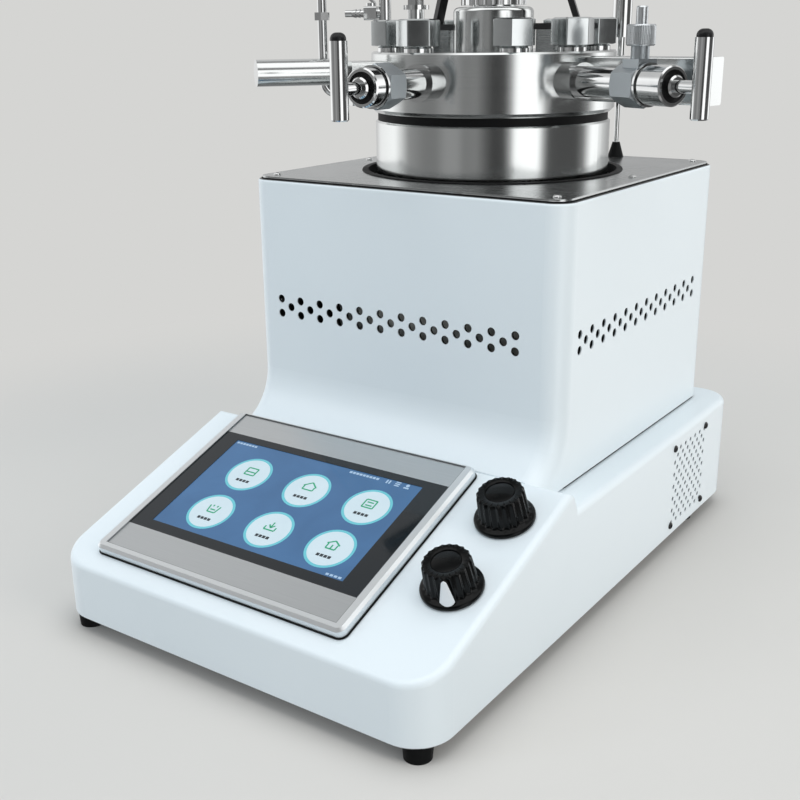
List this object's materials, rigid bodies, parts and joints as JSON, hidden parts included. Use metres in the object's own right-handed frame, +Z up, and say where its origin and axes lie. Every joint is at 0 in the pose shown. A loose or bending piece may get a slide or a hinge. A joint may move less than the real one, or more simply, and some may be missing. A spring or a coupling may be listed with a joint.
{
  "type": "hydrothermal reactor",
  "caption": "Bench hydrothermal reactor: a bolted stirred pressure vessel in a heated cover on a sloping control desk with a touch panel, dials and needle valves",
  "frame": {"origin": "centre of the bounding box in plan, on the bench under the feet", "axes": "+Z up along the vessel and stirrer axis, -Y towards the operator at the sloping desk, +X to the operator's right"},
  "size_m": [0.3304, 0.444, 0.5012],
  "materials": {
    "white_powder_coat": "smooth satin white powder coat",
    "zinc_plated_steel": "zinc plated sheet",
    "black_rubber": "matt black rubber",
    "black_plastic": "matt black moulding",
    "anodised_aluminium": "brushed and anodised",
    "black_acrylic": "gloss black window border",
    "display_panel": "lit blue display",
    "black_phenolic": "moulded black knob with a soft sheen",
    "circuit_laminate": "green circuit board",
    "brushed_stainless": "brushed stainless sheet",
    "turned_stainless": "fine turned stainless steel",
    "polished_stainless": "polished stainless steel",
    "blasted_stainless": "matt bead-blasted stainless steel",
    "cast_aluminium": "as cast",
    "ceramic_fibre": "white ceramic fibre block",
    "ptfe": "white fluoropolymer",
    "black_oxide_steel": "black finished steel",
    "grey_paint": "grey painted motor case"
  },
  "bodies": {
    "reactor": {"housing": "white_powder_coat", "floor_plate": "zinc_plated_steel", "feet": "black_rubber", "fan_frame": "black_plastic", "hmi_gasket": "black_rubber", "hmi_bezel": "anodised_aluminium", "hmi_glass": "black_acrylic", "hmi_display": "display_panel", "dial_controls": "black_plastic", "control_board": "circuit_laminate", "power_supply": "anodised_aluminium", "power_inlet": "black_plastic", "top_seal": "black_rubber", "top_plate": "brushed_stainless", "panel_screws": "polished_stainless", "well_ring": "black_rubber", "heater_sleeve": "cast_aluminium", "heater_band": "zinc_plated_steel", "insulation": "ceramic_fibre", "furnace_stand": "zinc_plated_steel", "vessel_body": "turned_stainless", "vessel_liner": "ptfe", "seal_ring": "black_rubber", "lid": "turned_stainless", "studs": "zinc_plated_steel", "washers": "polished_stainless", "nuts": "brushed_stainless", "drive_housing": "turned_stainless", "motor": "grey_paint", "bracket_posts": "brushed_stainless", "motor_bracket": "black_oxide_steel", "port_tubes": "polished_stainless", "front_valve_body": "blasted_stainless", "side_valve_body": "blasted_stainless", "front_bonnet": "polished_stainless", "side_bonnet": "polished_stainless", "packing_rings": "black_plastic", "lifting_gear": "turned_stainless", "gas_riser": "polished_stainless", "probe_boot": "black_rubber", "furnace_probe": "polished_stainless", "vent_valve": "polished_stainless", "relief_fitting": "polished_stainless"},
    "speed_dial": {"speed_knob": "black_phenolic", "speed_spindle": "zinc_plated_steel"},
    "heat_dial": {"heat_knob": "black_phenolic", "heat_spindle": "zinc_plated_steel"},
    "front_handle": {"front_spindle": "polished_stainless", "front_bar": "polished_stainless", "front_bar_cap": "black_plastic"},
    "side_handle": {"side_spindle": "polished_stainless", "side_bar": "polished_stainless", "side_bar_cap": "black_plastic"},
    "sample_valve": {"sample_knob": "turned_stainless"},
    "vent_handle": {"vent_lever": "polished_stainless"},
    "outer_magnets": {"magnet_cup": "polished_stainless"},
    "stirrer": {"stirrer_shaft": "turned_stainless", "impeller": "turned_stainless"},
    "fan": {"fan_rotor": "black_plastic"},
    "switch": {"switch_rocker": "black_plastic"}
  },
  "joints": [
    {"name": "speed_knob_turn", "type": "hinge", "parent": "reactor", "child": "speed_dial", "pos_m": [0.09332, -0.15542, 0.07198], "axis": [0, -0.3289, 0.9444], "range_deg": [-300, 0]},
    {"name": "heat_knob_turn", "type": "hinge", "parent": "reactor", "child": "heat_dial", "pos_m": [0.09332, -0.09781, 0.09205], "axis": [0, -0.3289, 0.9444], "range_deg": [-150, 150]},
    {"name": "front_valve_turn", "type": "hinge", "parent": "reactor", "child": "front_handle", "pos_m": [-0.0158, -0.10489, 0.3334], "axis": [0.0349, -0.9994, 0], "range_deg": [0, 1080]},
    {"name": "side_valve_turn", "type": "hinge", "parent": "reactor", "child": "side_handle", "pos_m": [0.15998, -0.00695, 0.3334], "axis": [0.9063, -0.4226, 0], "range_deg": [0, 1080]},
    {"name": "sample_valve_turn", "type": "hinge", "parent": "reactor", "child": "sample_valve", "pos_m": [0.11376, 0.01461, 0.3634], "axis": [0, 0, 1], "range_deg": [0, 720]},
    {"name": "vent_lever_swing", "type": "hinge", "parent": "reactor", "child": "vent_handle", "pos_m": [-0.1074, 0.05248, 0.3813], "axis": [0, 0, 1], "range_deg": [0, 90]},
    {"name": "outer_magnet_spin", "type": "hinge", "parent": "reactor", "child": "outer_magnets", "pos_m": [-0.02218, 0.078, 0.3512], "axis": [0, 0, 1], "continuous": true},
    {"name": "stirrer_spin", "type": "hinge", "parent": "reactor", "child": "stirrer", "pos_m": [-0.02218, 0.078, 0.3512], "axis": [0, 0, 1], "continuous": true},
    {"name": "fan_spin", "type": "hinge", "parent": "reactor", "child": "fan", "pos_m": [0.11832, 0.129, 0.049], "axis": [1, 0, 0], "continuous": true},
    {"name": "switch_rock", "type": "hinge", "parent": "reactor", "child": "switch", "pos_m": [0.04782, 0.214, 0.0685], "axis": [1, 0, 0], "range_deg": [-14, 0]}
  ],
  "couplings": [
    {"joint": "stirrer_spin", "follows": "outer_magnet_spin", "ratio": 1}
  ]
}
